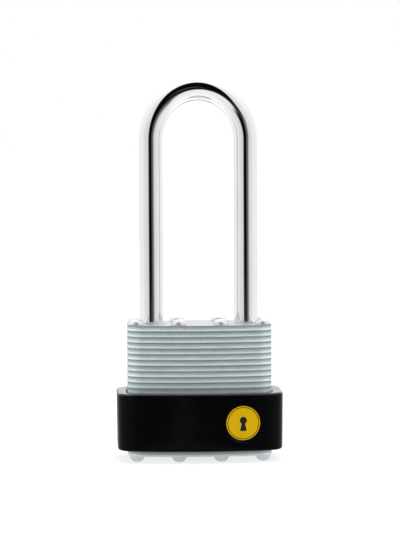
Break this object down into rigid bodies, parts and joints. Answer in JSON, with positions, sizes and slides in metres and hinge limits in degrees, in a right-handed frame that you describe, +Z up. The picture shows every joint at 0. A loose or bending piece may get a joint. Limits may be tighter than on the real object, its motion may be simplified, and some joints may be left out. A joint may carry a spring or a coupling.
{
  "type": "padlock",
  "caption": "Laminated steel padlock with a tall round-bar shackle, riveted plate stack, a glossy moulded bumper band with a plain round badge, and a key cylinder underneath.",
  "frame": {"origin": "centre of the lock in plan, level with the bottom rivet heads that it stands on", "axes": "+Z up along the shackle legs, +X to the right seen from the front, front face with the badge towards -Y"},
  "size_m": [0.046, 0.0276, 0.1065],
  "materials": {
    "laminated_steel": "zinc-plated sheet, sheared edges, satin with darker seams between the plates",
    "rivet_steel": "bright zinc-plated domed heads",
    "shackle_chrome": "mirror-bright chrome plate on hardened steel",
    "bumper_vinyl": "glossy black moulded vinyl",
    "badge": "printed yellow disc, semi-gloss",
    "brass": "machined brass, turned face",
    "hard_steel": "stamped hardened steel",
    "spring_steel": "drawn spring wire"
  },
  "bodies": {
    "lock_body": {"plate_01": "laminated_steel", "plate_02": "laminated_steel", "plate_03": "laminated_steel", "plate_04": "laminated_steel", "plate_05": "laminated_steel", "plate_06": "laminated_steel", "plate_07": "laminated_steel", "plate_08": "laminated_steel", "plate_09": "laminated_steel", "plate_10": "laminated_steel", "plate_11": "laminated_steel", "plate_12": "laminated_steel", "plate_13": "laminated_steel", "plate_14": "laminated_steel", "plate_15": "laminated_steel", "plate_16": "laminated_steel", "plate_17": "laminated_steel", "plate_18": "laminated_steel", "plate_19": "laminated_steel", "plate_20": "laminated_steel", "plate_21": "laminated_steel", "plate_22": "laminated_steel", "plate_23": "laminated_steel", "rivet_1": "rivet_steel", "rivet_2": "rivet_steel", "rivet_3": "rivet_steel", "rivet_4": "rivet_steel", "rivet_5": "rivet_steel", "rivet_6": "rivet_steel", "rivet_7": "rivet_steel", "rivet_8": "rivet_steel", "bumper": "bumper_vinyl", "badge_disc": "badge", "cylinder_housing": "brass", "chamber_cover": "brass", "driver_pin_1": "brass", "driver_pin_2": "brass", "driver_pin_3": "brass", "driver_pin_4": "brass", "pin_spring_1": "spring_steel", "pin_spring_2": "spring_steel", "pin_spring_3": "spring_steel", "pin_spring_4": "spring_steel", "shackle_spring": "spring_steel"},
    "shackle": {"shackle": "shackle_chrome"},
    "plug": {"cylinder_plug": "brass", "key_pin_1": "brass", "key_pin_2": "brass", "key_pin_3": "brass", "key_pin_4": "brass", "cam": "hard_steel"},
    "toe_lever": {"toe_lever": "hard_steel"},
    "heel_lever": {"heel_lever": "hard_steel", "lever_spring": "spring_steel"}
  },
  "joints": [
    {"name": "shackle_lift", "type": "slide", "parent": "lock_body", "child": "shackle", "axis": [0, 0, 1], "range_m": [0, 0.014], "deforming": ["shackle_spring"]},
    {"name": "plug_turn", "type": "hinge", "parent": "lock_body", "child": "plug", "pos_m": [0, 0, 0.01], "axis": [0, 0, -1], "range_deg": [0, 90]},
    {"name": "toe_lever_slide", "type": "slide", "parent": "lock_body", "child": "toe_lever", "axis": [1, 0, 0], "range_m": [0, 0.0018], "deforming": ["lever_spring"]},
    {"name": "heel_lever_slide", "type": "slide", "parent": "lock_body", "child": "heel_lever", "axis": [-1, 0, 0], "range_m": [0, 0.0018]}
  ],
  "couplings": [
    {"joint": "toe_lever_slide", "follows": "plug_turn", "m_per_rad": 0.001145},
    {"joint": "heel_lever_slide", "follows": "plug_turn", "m_per_rad": 0.001145}
  ]
}
